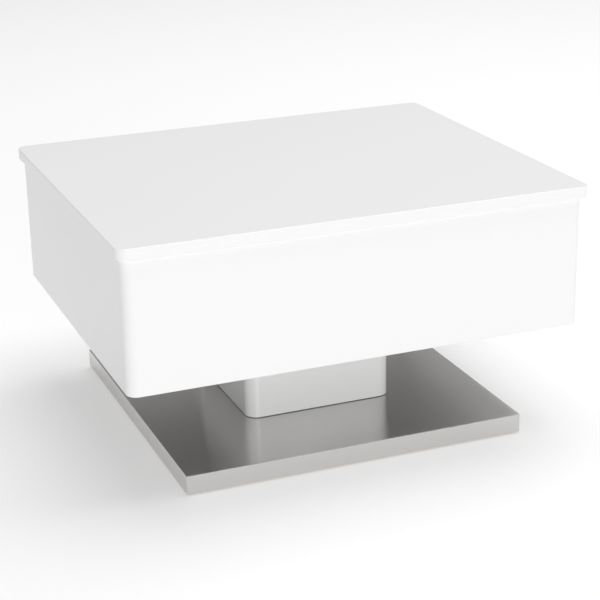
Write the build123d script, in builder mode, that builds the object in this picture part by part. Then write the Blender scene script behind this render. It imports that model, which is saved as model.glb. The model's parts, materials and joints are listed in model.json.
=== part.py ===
"""Lift top coffee table: steel-clad plinth, square pedestal, storage box and a lid
that rises forwards on a parallelogram mechanism. Millimetres, +Z up, front at -Y,
origin at the centre of the footprint on the floor."""

import os
from math import cos, radians, sin

from build123d import *

os.makedirs("parts", exist_ok=True)

# Lid
lid_length = 800.0
lid_depth = 665.0
lid_thickness = 19.0
lid_corner_radius = 18.0
lid_edge_radius = 1.5
lid_overhang = 8.0
rim_gap = 2.0

# Storage box
box_height = 220.0
box_wall = 18.0
box_corner_radius = 18.0
box_floor_thickness = 16.0
corner_block_side = 28.0

# Pedestal
pedestal_side = 265.0
pedestal_height = 159.0
pedestal_wall = 16.0
pedestal_corner_radius = 22.0
pedestal_board_thickness = 18.0
pedestal_post_side = 30.0

# Plinth
plinth_side = 598.0
plinth_height = 32.0
steel_thickness = 1.0
steel_bend_radius = 1.0
gasket_thickness = 1.0
gasket_inset = 3.0
glide_radius = 16.0
glide_height = 3.0
glide_inset = 35.0

# Clearances
panel_clearance = 0.1
hole_clearance = 0.05
open_pivot_clearance = 0.25
seat_gap = 0.3

# Bolts that tie plinth, pedestal and box together
bolt_spread = 150.0
bolt_radius = 4.0
bolt_head_radius = 6.5
bolt_key_size = 5.0
bolt_key_depth = 3.0
plinth_bolt_length = 35.0
plinth_bolt_head = 8.0
box_bolt_length = 25.0
box_bolt_head = 4.5
washer_radius = 8.5
washer_thickness = 1.6
counterbore_radius = 9.5
plinth_counterbore = 12.0
box_counterbore = 6.5
insert_radius = 6.0
insert_length = 15.0

# Dowels between the box floor and its walls
dowel_radius = 4.0
dowel_length = 30.0
dowel_in_wall = 12.0
dowels_along_front = 5
dowels_along_side = 4

# Wood screws
screw_radius = 2.0
screw_head_radius = 4.0
screw_length = 14.0
cross_slot = 4.4
cross_width = 0.9
cross_depth = 1.2
glide_screw_radius = 1.75
glide_screw_head_radius = 3.5
glide_screw_recess = 0.5

# Rim bumpers
bumper_radius = 6.0
bumper_stem_radius = 2.5
bumper_stem_length = 6.0

# Lift mechanism
lift_angle = 105.0
arm_length = 220.0
arm_width = 22.0
arm_thickness = 4.0
bracket_thickness = 3.0
side_gap = 1.0
thrust_washer_thickness = 0.8
thrust_washer_radius = 9.0
front_pivot_y = -150.0
pivot_below_lid = 45.0
rear_pivot_back = 70.0
rear_pivot_drop = 28.0
front_pin_radius = 5.0
pin_radius = 4.0
pin_head_radius = 7.5
pin_head_thickness = 2.2
boss_radius = 14.0
bracket_front_margin = 40.0
tube_reach = 90.0
tube_radius = 10.0
tube_wall = 1.5
tube_plug_length = 15.0
tube_screw_radius = 3.0
tube_screw_length = 16.0
tube_screw_head_radius = 5.0
tube_screw_head = 2.3
stop_reach = 35.0
stop_pin_radius = 3.0
stop_sleeve_radius = 4.5
stop_sleeve_length = 4.6
stop_boss_radius = 8.0
flange_width = 30.0
flange_margin = 50.0
flange_screws = 4
flange_screw_inset = 15.0
flange_screw_head = 2.3

# Torsion springs
wire_radius = 1.5
coil_radius = 10.0
coil_pitch = 3.6
coil_turns = 5
coil_side_gap = 1.0
spring_leg = 42.0
spring_leg_end = 4.0
peg_reach = 34.0
peg_radius = 3.0
peg_length = 7.0

# Heights above the floor
plinth_bottom = glide_height
plinth_top = plinth_bottom + plinth_height
core_top = plinth_top - steel_thickness
pedestal_bottom = plinth_top + gasket_thickness
pedestal_top = pedestal_bottom + pedestal_height
box_bottom = pedestal_top
box_floor_top = box_bottom + box_floor_thickness
box_top = box_bottom + box_height
lid_bottom = box_top + rim_gap

# Plan sizes
box_length = lid_length - 2 * lid_overhang
box_depth = lid_depth - 2 * lid_overhang
inner_length = box_length - 2 * box_wall
inner_depth = box_depth - 2 * box_wall
pedestal_inner = pedestal_side - 2 * pedestal_wall
core_side = plinth_side - 2 * (steel_thickness + panel_clearance)

# Stack of the mechanism on the left-hand wall, from the wall towards the middle
wall_face = -inner_length / 2
base_plate_face = wall_face + bracket_thickness
arm_outer = base_plate_face + side_gap
arm_inner = arm_outer + arm_thickness
web_outer = arm_inner + side_gap
web_inner = web_outer + bracket_thickness
coil_start = arm_inner + coil_side_gap + wire_radius
coil_end = coil_start + coil_turns * coil_pitch
cheek_outer = coil_end + wire_radius + coil_side_gap
cheek_inner = cheek_outer + bracket_thickness

# Pivots and other points of the mechanism as (y, z)
front_pivot = (front_pivot_y, lid_bottom - pivot_below_lid)
rear_pivot = (front_pivot[0] + rear_pivot_back, front_pivot[1] - rear_pivot_drop)
front_lid_pivot = (front_pivot[0] + arm_length, front_pivot[1])
rear_lid_pivot = (rear_pivot[0] + arm_length, rear_pivot[1])
tube_point = (front_pivot[0] + tube_reach, front_pivot[1])
stop_offset = arm_width / 2 + stop_sleeve_radius + seat_gap
stop_point = (
    front_pivot[0] + stop_reach * cos(radians(lift_angle)) - stop_offset * sin(radians(lift_angle)),
    front_pivot[1] + stop_reach * sin(radians(lift_angle)) + stop_offset * cos(radians(lift_angle)),
)
leg_height = front_pivot[1] - coil_radius
peg_point = (front_pivot[0] + peg_reach, leg_height + wire_radius + peg_radius + hole_clearance)
bracket_front = front_pivot[0] - bracket_front_margin
bracket_screw_points = [
    (bracket_front + boss_radius, front_pivot[1] - 5),
    (bracket_front + boss_radius, rear_pivot[1] - 40),
    (rear_pivot[0] + 25, rear_pivot[1] - 40),
    (rear_pivot[0] + 25, rear_pivot[1] - 12),
]
flange_front = front_lid_pivot[0] - flange_margin
flange_back = rear_lid_pivot[0] + flange_margin
flange_bottom = lid_bottom - bracket_thickness
flange_middle = web_outer + flange_width - flange_screw_inset

pieces = {}


def discs(plane, points, radius, amount, mode=Mode.ADD, taper=0.0):
    """Round bars or holes of one radius at several points of a plane."""
    with BuildSketch(plane) as circles:
        with Locations(*points):
            Circle(radius)
    extrude(circles.sketch, amount=amount, taper=taper, mode=mode)


def rings(plane, points, outer, inner, amount):
    """Flat rings or sleeves at several points of a plane."""
    with BuildSketch(plane) as circles:
        with Locations(*points):
            Circle(outer)
            Circle(inner, mode=Mode.SUBTRACT)
    extrude(circles.sketch, amount=amount)


def cap_bolts(plane, points, shank_length, head_height):
    """Socket-head bolts whose heads bear on the plane and whose shanks go along its normal."""
    discs(plane, points, bolt_radius, shank_length)
    discs(plane, points, bolt_head_radius, -head_height)
    with BuildSketch(plane.offset(-head_height)) as keys:
        with Locations(*points):
            RegularPolygon(bolt_key_size / 2, 6, major_radius=False)
    extrude(keys.sketch, amount=bolt_key_depth, mode=Mode.SUBTRACT)


def countersinks(plane, points, head_radius, shank_radius, amount, grow=0.0, mode=Mode.ADD):
    """Screws, or the holes for them, whose flat heads lie in the plane; amount sets the way in."""
    sign = 1 if amount > 0 else -1
    discs(plane, points, head_radius + grow, sign * (head_radius - shank_radius), mode, taper=45)
    discs(plane, points, shank_radius + grow, amount, mode)


def cross_recesses(plane, points, amount):
    """Cross recesses in screw heads that lie in the plane."""
    with BuildSketch(plane) as crosses:
        with Locations(*points):
            Rectangle(cross_slot, cross_width)
            Rectangle(cross_width, cross_slot)
    extrude(crosses.sketch, amount=amount, mode=Mode.SUBTRACT)


def square_points(spread):
    """The four corners of a square about the middle."""
    half = spread / 2
    return [(-half, -half), (half, -half), (half, half), (-half, half)]


def spaced(count, span):
    """Evenly spaced places along a span about zero, half a step in from its ends."""
    step = span / count
    return [(index + 0.5) * step - span / 2 for index in range(count)]


def wall_corners(side, length, depth, wall):
    """The mitred outline of one wall of a rectangular ring, before its corners are rounded."""
    signs = {
        "front": [(-1, -1), (1, -1)],
        "right": [(1, -1), (1, 1)],
        "back": [(1, 1), (-1, 1)],
        "left": [(-1, 1), (-1, -1)],
    }[side]
    outer = [(sx * length / 2, sy * depth / 2) for sx, sy in signs]
    inner = [(sx * (length / 2 - wall), sy * (depth / 2 - wall)) for sx, sy in reversed(signs)]
    return outer + inner


# ---------------------------------------------------------------- plinth

with BuildPart() as plinth_core:
    with BuildSketch(Plane.XY.offset(plinth_bottom)):
        Rectangle(core_side, core_side)
    extrude(amount=core_top - plinth_bottom)
    bolt_points = square_points(bolt_spread)
    discs(Plane.XY.offset(plinth_bottom), bolt_points, counterbore_radius, plinth_counterbore, Mode.SUBTRACT)
    discs(Plane.XY.offset(plinth_bottom), bolt_points, bolt_radius + hole_clearance, plinth_height, Mode.SUBTRACT)
    glide_points = square_points(plinth_side - 2 * glide_inset)
    discs(
        Plane.XY.offset(plinth_bottom),
        glide_points,
        glide_screw_radius + hole_clearance,
        screw_length,
        Mode.SUBTRACT,
    )
pieces["plinth_core"] = plinth_core

with BuildPart() as plinth_cover:
    with BuildSketch(Plane.XY.offset(plinth_bottom)):
        Rectangle(plinth_side, plinth_side)
    extrude(amount=plinth_height)
    fillet(plinth_cover.faces().sort_by(Axis.Z)[-1].edges(), steel_bend_radius)
    with BuildSketch(Plane.XY.offset(plinth_bottom)):
        Rectangle(plinth_side - 2 * steel_thickness, plinth_side - 2 * steel_thickness)
    extrude(amount=core_top - plinth_bottom, mode=Mode.SUBTRACT)
    discs(Plane.XY.offset(plinth_top), bolt_points, bolt_radius + hole_clearance, -plinth_height, Mode.SUBTRACT)
pieces["plinth_cover"] = plinth_cover

with BuildPart() as floor_glides:
    discs(Plane.XY, glide_points, glide_radius, glide_height)
    glide_rims = floor_glides.faces().sort_by(Axis.Z)[:4].edges()
    chamfer(glide_rims, glide_height / 5)
    discs(Plane.XY, glide_points, glide_screw_head_radius + hole_clearance, glide_screw_recess, Mode.SUBTRACT)
    countersinks(
        Plane.XY.offset(glide_screw_recess),
        glide_points,
        glide_screw_head_radius,
        glide_screw_radius,
        glide_height,
        hole_clearance,
        Mode.SUBTRACT,
    )
pieces["floor_glides"] = floor_glides

with BuildPart() as glide_screws:
    glide_head_plane = Plane.XY.offset(glide_screw_recess)
    countersinks(glide_head_plane, glide_points, glide_screw_head_radius, glide_screw_radius, screw_length)
    cross_recesses(glide_head_plane, glide_points, cross_depth)
pieces["glide_screws"] = glide_screws

with BuildPart() as plinth_bolts:
    plinth_seat = plinth_bottom + plinth_counterbore - washer_thickness
    cap_bolts(Plane.XY.offset(plinth_seat), bolt_points, plinth_bolt_length, plinth_bolt_head)
pieces["plinth_bolts"] = plinth_bolts

with BuildPart() as plinth_washers:
    washer_bore = bolt_radius + 2 * hole_clearance
    rings(Plane.XY.offset(plinth_seat), bolt_points, washer_radius, washer_bore, washer_thickness)
pieces["plinth_washers"] = plinth_washers

# ---------------------------------------------------------------- pedestal

with BuildPart() as pedestal_gasket:
    gasket_side = pedestal_side - 2 * gasket_inset
    with BuildSketch(Plane.XY.offset(plinth_top)):
        RectangleRounded(gasket_side, gasket_side, pedestal_corner_radius - gasket_inset)
        with Locations(*bolt_points):
            Circle(bolt_radius + hole_clearance, mode=Mode.SUBTRACT)
    extrude(amount=gasket_thickness)
pieces["pedestal_gasket"] = pedestal_gasket

for side in ("front", "right", "back", "left"):
    with BuildPart() as pedestal_panel:
        with BuildSketch(Plane.XY.offset(pedestal_bottom)):
            RectangleRounded(pedestal_side, pedestal_side, pedestal_corner_radius)
            Polygon(*wall_corners(side, pedestal_side, pedestal_side, pedestal_wall), mode=Mode.INTERSECT)
        extrude(amount=pedestal_height)
    pieces[f"pedestal_{side}"] = pedestal_panel

board_side = pedestal_inner - 2 * panel_clearance
board_levels = {
    "lower": pedestal_bottom,
    "upper": pedestal_top - pedestal_board_thickness,
}
for level, board_z in board_levels.items():
    with BuildPart() as pedestal_board:
        with BuildSketch(Plane.XY.offset(board_z)):
            Rectangle(board_side, board_side)
            with Locations(*bolt_points):
                Circle(insert_radius + hole_clearance, mode=Mode.SUBTRACT)
        extrude(amount=pedestal_board_thickness)
    pieces[f"pedestal_board_{level}"] = pedestal_board

insert_levels = {
    "lower": pedestal_bottom,
    "upper": pedestal_top - insert_length,
}
for level, insert_z in insert_levels.items():
    with BuildPart() as insert_nuts:
        insert_bore = bolt_radius + hole_clearance
        rings(Plane.XY.offset(insert_z), bolt_points, insert_radius, insert_bore, insert_length)
    pieces[f"insert_nuts_{level}"] = insert_nuts

with BuildPart() as pedestal_posts:
    post_bottom = pedestal_bottom + pedestal_board_thickness
    post_height = pedestal_height - 2 * pedestal_board_thickness
    with BuildSketch(Plane.XY.offset(post_bottom)):
        with Locations(*square_points(board_side - pedestal_post_side)):
            Rectangle(pedestal_post_side, pedestal_post_side)
    extrude(amount=post_height)
pieces["pedestal_posts"] = pedestal_posts

# ---------------------------------------------------------------- storage box

dowel_z = box_bottom + box_floor_thickness / 2
dowel_in_floor = dowel_length - dowel_in_wall
dowel_bore = dowel_radius + hole_clearance
front_dowels = [(x, dowel_z) for x in spaced(dowels_along_front, inner_length)]
side_dowels = [(y, dowel_z) for y in spaced(dowels_along_side, inner_depth)]
mirrored_front_dowels = [(-x, z) for x, z in front_dowels]
wall_planes = {
    "front": (Plane.XZ.offset(inner_depth / 2), front_dowels),
    "back": (Plane.XZ.rotated((0, 0, 180)).offset(inner_depth / 2), mirrored_front_dowels),
    "right": (Plane.YZ.offset(inner_length / 2), side_dowels),
    "left": (Plane.YZ.rotated((0, 0, 180)).offset(inner_length / 2), side_dowels),
}

with BuildPart() as box_floor:
    with BuildSketch(Plane.XY.offset(box_bottom)):
        Rectangle(inner_length - 2 * panel_clearance, inner_depth - 2 * panel_clearance)
    extrude(amount=box_floor_thickness)
    discs(Plane.XY.offset(box_floor_top), bolt_points, counterbore_radius, -box_counterbore, Mode.SUBTRACT)
    discs(
        Plane.XY.offset(box_floor_top),
        bolt_points,
        bolt_radius + hole_clearance,
        -box_floor_thickness,
        Mode.SUBTRACT,
    )
    for dowel_plane, dowel_points in wall_planes.values():
        discs(dowel_plane, dowel_points, dowel_bore, -dowel_in_floor, Mode.SUBTRACT)
pieces["box_floor"] = box_floor

for side, (dowel_plane, dowel_points) in wall_planes.items():
    with BuildPart() as box_panel:
        with BuildSketch(Plane.XY.offset(box_bottom)):
            RectangleRounded(box_length, box_depth, box_corner_radius)
            Polygon(*wall_corners(side, box_length, box_depth, box_wall), mode=Mode.INTERSECT)
        extrude(amount=box_height)
        discs(dowel_plane, dowel_points, dowel_bore, dowel_in_wall, Mode.SUBTRACT)
        if side in ("left", "right"):
            face_x = wall_face if side == "left" else -wall_face
            drive = -screw_length if side == "left" else screw_length
            pilot = screw_radius + hole_clearance
            discs(Plane.YZ.offset(face_x), bracket_screw_points, pilot, drive, Mode.SUBTRACT)
    pieces[f"box_{side}"] = box_panel

with BuildPart() as floor_dowels:
    for dowel_plane, dowel_points in wall_planes.values():
        discs(dowel_plane.offset(-dowel_in_floor), dowel_points, dowel_radius, dowel_length)
pieces["floor_dowels"] = floor_dowels

with BuildPart() as box_bolts:
    box_seat = box_floor_top - box_counterbore + washer_thickness
    down = Plane(origin=(0, 0, box_seat), x_dir=(1, 0, 0), z_dir=(0, 0, -1))
    cap_bolts(down, bolt_points, box_bolt_length, box_bolt_head)
pieces["box_bolts"] = box_bolts

with BuildPart() as box_washers:
    rings(Plane.XY.offset(box_seat), bolt_points, washer_radius, washer_bore, -washer_thickness)
pieces["box_washers"] = box_washers

block_x = inner_length / 2 - corner_block_side / 2
block_y = inner_depth / 2 - corner_block_side / 2
block_points = [(-block_x, -block_y), (block_x, -block_y), (block_x, block_y), (-block_x, block_y)]

with BuildPart() as corner_blocks:
    with BuildSketch(Plane.XY.offset(box_floor_top)):
        with Locations(*block_points):
            Rectangle(corner_block_side, corner_block_side)
    extrude(amount=box_top - box_floor_top)
    stem_bore = bumper_stem_radius + hole_clearance
    discs(Plane.XY.offset(box_top), block_points, stem_bore, -bumper_stem_length, Mode.SUBTRACT)
pieces["corner_blocks"] = corner_blocks

with BuildPart() as rim_bumpers:
    discs(Plane.XY.offset(box_top), block_points, bumper_radius, rim_gap - seat_gap)
    bumper_rims = rim_bumpers.faces().sort_by(Axis.Z)[-4:].edges()
    fillet(bumper_rims, rim_gap / 3)
    discs(Plane.XY.offset(box_top), block_points, bumper_stem_radius, -bumper_stem_length)
pieces["rim_bumpers"] = rim_bumpers

# ---------------------------------------------------------------- lid

flange_step_span = flange_back - flange_front
flange_middle_y = (flange_front + flange_back) / 2
flange_ys = [flange_middle_y + y for y in spaced(flange_screws, flange_step_span)]
flange_screw_points = [(sign * flange_middle, y) for sign in (-1, 1) for y in flange_ys]

with BuildPart() as lid:
    with BuildSketch(Plane.XY.offset(lid_bottom)):
        RectangleRounded(lid_length, lid_depth, lid_corner_radius)
    extrude(amount=lid_thickness)
    fillet(lid.faces().filter_by(Axis.Z).edges(), lid_edge_radius)
    pilot = screw_radius + hole_clearance
    discs(Plane.XY.offset(lid_bottom), flange_screw_points, pilot, screw_length, Mode.SUBTRACT)
pieces["lid"] = lid

with BuildPart() as lid_bracket_left:
    with BuildSketch(Plane.YZ.offset(web_outer)):
        with BuildSketch(mode=Mode.PRIVATE) as web_marks:
            with Locations(front_lid_pivot, rear_lid_pivot):
                Circle(boss_radius)
            with Locations((flange_middle_y, flange_bottom + bracket_thickness / 2)):
                Rectangle(flange_step_span, bracket_thickness)
        make_hull(web_marks.sketch.edges())
        with Locations(front_lid_pivot, rear_lid_pivot):
            Circle(pin_radius + hole_clearance, mode=Mode.SUBTRACT)
    extrude(amount=bracket_thickness)
    with BuildSketch(Plane.XY.offset(flange_bottom)):
        with Locations((web_outer + flange_width / 2, flange_middle_y)):
            Rectangle(flange_width, flange_step_span)
    extrude(amount=bracket_thickness)
    left_flange_points = [point for point in flange_screw_points if point[0] < 0]
    flange_bore = screw_radius + hole_clearance
    discs(Plane.XY.offset(lid_bottom), left_flange_points, flange_bore, -bracket_thickness, Mode.SUBTRACT)
pieces["lid_bracket_left"] = lid_bracket_left

with BuildPart() as lid_bracket_right:
    mirror(lid_bracket_left.part, about=Plane.YZ)
pieces["lid_bracket_right"] = lid_bracket_right

with BuildPart() as lid_bracket_screws:
    under_flange = Plane.XY.offset(flange_bottom)
    discs(under_flange, flange_screw_points, screw_head_radius, -flange_screw_head)
    fillet(lid_bracket_screws.faces().sort_by(Axis.Z)[:8].edges(), flange_screw_head / 3)
    discs(under_flange, flange_screw_points, screw_radius, screw_length)
    cross_recesses(Plane.XY.offset(flange_bottom - flange_screw_head), flange_screw_points, cross_depth)
pieces["lid_bracket_screws"] = lid_bracket_screws

with BuildPart() as lid_pivot_pins:
    lid_pivots = [front_lid_pivot, rear_lid_pivot]
    outer_head_face = arm_outer - seat_gap
    discs(Plane.YZ.offset(outer_head_face), lid_pivots, pin_head_radius, -pin_head_thickness)
    discs(Plane.YZ.offset(outer_head_face), lid_pivots, pin_radius, web_inner - outer_head_face)
    discs(Plane.YZ.offset(web_inner), lid_pivots, pin_head_radius, pin_head_thickness)
    mirror(about=Plane.YZ)
pieces["lid_pivot_pins"] = lid_pivot_pins

# ---------------------------------------------------------------- base brackets

with BuildPart() as base_bracket_left:
    strip_middle = (bracket_front + bracket_thickness / 2, front_pivot[1])
    with BuildSketch(Plane.YZ.offset(wall_face)):
        with BuildSketch(mode=Mode.PRIVATE) as plate_marks:
            with Locations(front_pivot, rear_pivot, *bracket_screw_points):
                Circle(boss_radius)
            with Locations(stop_point):
                Circle(stop_boss_radius)
            with Locations(strip_middle):
                Rectangle(bracket_thickness, 2 * boss_radius)
        make_hull(plate_marks.sketch.edges())
        with Locations(front_pivot):
            Circle(front_pin_radius + hole_clearance, mode=Mode.SUBTRACT)
        with Locations(rear_pivot):
            Circle(pin_radius + hole_clearance, mode=Mode.SUBTRACT)
        with Locations(stop_point):
            Circle(stop_pin_radius + hole_clearance, mode=Mode.SUBTRACT)
    extrude(amount=bracket_thickness)
    with BuildSketch(Plane.YZ.offset(base_plate_face)):
        with Locations(strip_middle):
            Rectangle(bracket_thickness, 2 * boss_radius)
    extrude(amount=cheek_inner - base_plate_face)
    with BuildSketch(Plane.YZ.offset(cheek_outer)):
        with Locations(((bracket_front + front_pivot[0]) / 2, front_pivot[1])):
            Rectangle(bracket_front_margin, 2 * boss_radius)
        with Locations(front_pivot):
            Circle(boss_radius)
            Circle(front_pin_radius + hole_clearance, mode=Mode.SUBTRACT)
    extrude(amount=bracket_thickness)
    countersinks(
        Plane.YZ.offset(base_plate_face),
        bracket_screw_points,
        screw_head_radius,
        screw_radius,
        -bracket_thickness,
        hole_clearance,
        Mode.SUBTRACT,
    )
    leg_hole = Plane(origin=(0, bracket_front, 0), x_dir=(1, 0, 0), z_dir=(0, -1, 0))
    leg_bore = wire_radius + 2 * hole_clearance
    discs(leg_hole, [(coil_end, leg_height)], leg_bore, -bracket_thickness, Mode.SUBTRACT)
pieces["base_bracket_left"] = base_bracket_left

with BuildPart() as base_bracket_right:
    mirror(base_bracket_left.part, about=Plane.YZ)
pieces["base_bracket_right"] = base_bracket_right

with BuildPart() as base_bracket_screws:
    plate_face = Plane.YZ.offset(base_plate_face)
    countersinks(plate_face, bracket_screw_points, screw_head_radius, screw_radius, -screw_length)
    cross_recesses(plate_face, bracket_screw_points, -cross_depth)
    mirror(about=Plane.YZ)
pieces["base_bracket_screws"] = base_bracket_screws

with BuildPart() as front_base_pins:
    discs(Plane.YZ.offset(wall_face), [front_pivot], front_pin_radius, cheek_inner - wall_face)
    discs(Plane.YZ.offset(cheek_inner), [front_pivot], pin_head_radius, pin_head_thickness)
    mirror(about=Plane.YZ)
pieces["front_base_pins"] = front_base_pins

with BuildPart() as rear_base_pins:
    inner_head_face = arm_inner + seat_gap
    discs(Plane.YZ.offset(wall_face), [rear_pivot], pin_radius, inner_head_face - wall_face)
    discs(Plane.YZ.offset(inner_head_face), [rear_pivot], pin_head_radius, pin_head_thickness)
    mirror(about=Plane.YZ)
pieces["rear_base_pins"] = rear_base_pins

with BuildPart() as base_thrust_washers:
    washer_margin = (side_gap - thrust_washer_thickness) / 2
    base_washer_plane = Plane.YZ.offset(base_plate_face + washer_margin)
    front_bore = front_pin_radius + 2 * hole_clearance
    rear_bore = pin_radius + 2 * hole_clearance
    rings(base_washer_plane, [front_pivot], thrust_washer_radius, front_bore, thrust_washer_thickness)
    rings(base_washer_plane, [rear_pivot], thrust_washer_radius, rear_bore, thrust_washer_thickness)
    mirror(about=Plane.YZ)
pieces["base_thrust_washers"] = base_thrust_washers

with BuildPart() as lid_thrust_washers:
    lid_washer_plane = Plane.YZ.offset(arm_inner + washer_margin)
    rings(lid_washer_plane, lid_pivots, thrust_washer_radius, rear_bore, thrust_washer_thickness)
    mirror(about=Plane.YZ)
pieces["lid_thrust_washers"] = lid_thrust_washers

with BuildPart() as stop_pins:
    stop_end = arm_inner + seat_gap
    discs(Plane.YZ.offset(wall_face), [stop_point], stop_pin_radius, stop_end - wall_face)
    mirror(about=Plane.YZ)
pieces["stop_pins"] = stop_pins

with BuildPart() as stop_sleeves:
    sleeve_plane = Plane.YZ.offset(stop_end - stop_sleeve_length)
    sleeve_bore = stop_pin_radius + hole_clearance
    rings(sleeve_plane, [stop_point], stop_sleeve_radius, sleeve_bore, stop_sleeve_length)
    mirror(about=Plane.YZ)
pieces["stop_sleeves"] = stop_sleeves

# ---------------------------------------------------------------- arms and cross tube

with BuildPart() as front_arm_left:
    with BuildSketch(Plane.YZ.offset(arm_outer)):
        with Locations((front_pivot[0] + arm_length / 2, front_pivot[1])):
            SlotCenterToCenter(arm_length, arm_width)
        with Locations(front_pivot):
            Circle(front_pin_radius + hole_clearance, mode=Mode.SUBTRACT)
        with Locations(front_lid_pivot):
            Circle(pin_radius + hole_clearance, mode=Mode.SUBTRACT)
        with Locations(tube_point):
            Circle(tube_screw_radius + hole_clearance, mode=Mode.SUBTRACT)
        with Locations(peg_point):
            Circle(peg_radius + hole_clearance, mode=Mode.SUBTRACT)
    extrude(amount=arm_thickness)
pieces["front_arm_left"] = front_arm_left

with BuildPart() as front_arm_right:
    mirror(front_arm_left.part, about=Plane.YZ)
pieces["front_arm_right"] = front_arm_right

with BuildPart() as rear_arm_left:
    with BuildSketch(Plane.YZ.offset(arm_outer)):
        with Locations((rear_pivot[0] + arm_length / 2, rear_pivot[1])):
            SlotCenterToCenter(arm_length, arm_width)
        with Locations(rear_pivot):
            Circle(pin_radius + hole_clearance, mode=Mode.SUBTRACT)
        with Locations(rear_lid_pivot):
            Circle(pin_radius + open_pivot_clearance, mode=Mode.SUBTRACT)
    extrude(amount=arm_thickness)
pieces["rear_arm_left"] = rear_arm_left

with BuildPart() as rear_arm_right:
    mirror(rear_arm_left.part, about=Plane.YZ)
pieces["rear_arm_right"] = rear_arm_right

with BuildPart() as cross_tube:
    tube_plane = Plane.YZ.offset(arm_inner)
    rings(tube_plane, [tube_point], tube_radius, tube_radius - tube_wall, -2 * arm_inner)
pieces["cross_tube"] = cross_tube

with BuildPart() as tube_plugs:
    plug_radius = tube_radius - tube_wall - hole_clearance
    plug_bore = tube_screw_radius + hole_clearance
    rings(tube_plane, [tube_point], plug_radius, plug_bore, tube_plug_length)
    mirror(about=Plane.YZ)
pieces["tube_plugs"] = tube_plugs

with BuildPart() as tube_screws:
    discs(Plane.YZ.offset(arm_outer), [tube_point], tube_screw_head_radius, -tube_screw_head)
    fillet(tube_screws.faces().sort_by(Axis.X)[0].edges(), tube_screw_head / 2)
    discs(Plane.YZ.offset(arm_outer), [tube_point], tube_screw_radius, tube_screw_length)
    with BuildSketch(Plane.YZ.offset(arm_outer - tube_screw_head)):
        with Locations(tube_point):
            RegularPolygon(tube_screw_radius / 2, 6)
    extrude(amount=tube_screw_head / 2, mode=Mode.SUBTRACT)
    mirror(about=Plane.YZ)
pieces["tube_screws"] = tube_screws

with BuildPart() as spring_pegs:
    discs(Plane.YZ.offset(arm_outer), [peg_point], peg_radius, arm_thickness + peg_length)
    mirror(about=Plane.YZ)
pieces["spring_pegs"] = spring_pegs

# ---------------------------------------------------------------- torsion springs

with BuildPart() as torsion_spring_left:
    with BuildLine():
        Helix(
            coil_pitch,
            coil_turns * coil_pitch,
            coil_radius,
            center=(coil_end, *front_pivot),
            direction=(-1, 0, 0),
            lefthand=True,
        )
    fixed_end = Plane(origin=(coil_end, front_pivot[0], leg_height), x_dir=(1, 0, 0), z_dir=(0, -1, 0))
    with BuildSketch(fixed_end):
        Circle(wire_radius)
    sweep(is_frenet=True)
    discs(fixed_end, [(0, 0)], wire_radius, bracket_front_margin + spring_leg_end)
    moving_end = Plane(origin=(coil_start, front_pivot[0], leg_height), x_dir=(1, 0, 0), z_dir=(0, 1, 0))
    discs(moving_end, [(0, 0)], wire_radius, spring_leg)
pieces["torsion_spring_left"] = torsion_spring_left

with BuildPart() as torsion_spring_right:
    mirror(torsion_spring_left.part, about=Plane.YZ)
pieces["torsion_spring_right"] = torsion_spring_right

for name, piece in pieces.items():
    piece.part.label = name
    export_step(piece.part, f"parts/{name}.step")
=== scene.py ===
import json
from math import cos, pi, radians, sin, sqrt

import bmesh
import bpy
from mathutils import Matrix, Vector


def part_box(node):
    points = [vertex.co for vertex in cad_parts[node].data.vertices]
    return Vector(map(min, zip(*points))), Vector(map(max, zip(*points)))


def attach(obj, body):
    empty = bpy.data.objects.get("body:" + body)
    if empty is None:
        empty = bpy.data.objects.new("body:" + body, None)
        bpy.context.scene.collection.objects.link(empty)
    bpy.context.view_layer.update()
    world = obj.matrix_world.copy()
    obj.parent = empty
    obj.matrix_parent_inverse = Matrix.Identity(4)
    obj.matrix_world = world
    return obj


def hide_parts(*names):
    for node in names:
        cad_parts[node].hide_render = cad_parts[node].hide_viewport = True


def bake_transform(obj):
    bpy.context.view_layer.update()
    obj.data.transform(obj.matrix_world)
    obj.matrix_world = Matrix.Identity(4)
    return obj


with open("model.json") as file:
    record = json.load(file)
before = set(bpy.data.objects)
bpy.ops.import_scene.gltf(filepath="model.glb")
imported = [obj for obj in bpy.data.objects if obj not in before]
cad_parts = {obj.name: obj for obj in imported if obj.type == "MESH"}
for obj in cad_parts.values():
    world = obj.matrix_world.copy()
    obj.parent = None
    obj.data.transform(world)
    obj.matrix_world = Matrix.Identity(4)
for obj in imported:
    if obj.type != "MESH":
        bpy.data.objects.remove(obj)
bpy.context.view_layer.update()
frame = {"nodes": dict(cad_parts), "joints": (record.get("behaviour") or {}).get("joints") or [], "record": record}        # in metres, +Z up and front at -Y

cadNodes = frame["nodes"]
slotOf = {part["node"]: part["material_slot"] for part in frame["record"]["subparts"]}
jointOf = {joint["name"]: joint for joint in frame["joints"]}
mm = 0.001


class Wire:
    # one socket of a node tree, with sums on it
    def __init__(self, graph, socket):
        self.graph = graph
        self.socket = socket

    def sum(self, operation, *terms):
        return self.graph.add("ShaderNodeMath", {"operation": operation}, dict(enumerate(terms)))

    def __add__(self, other):
        return self.sum("ADD", self, other)

    def __sub__(self, other):
        return self.sum("SUBTRACT", self, other)

    def __rsub__(self, other):
        return self.sum("SUBTRACT", other, self)

    def __mul__(self, other):
        return self.sum("MULTIPLY", self, other)

    def __truediv__(self, other):
        return self.sum("DIVIDE", self, other)

    def __neg__(self):
        return self.sum("MULTIPLY", self, -1.0)

    __radd__ = __add__
    __rmul__ = __mul__


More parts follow.
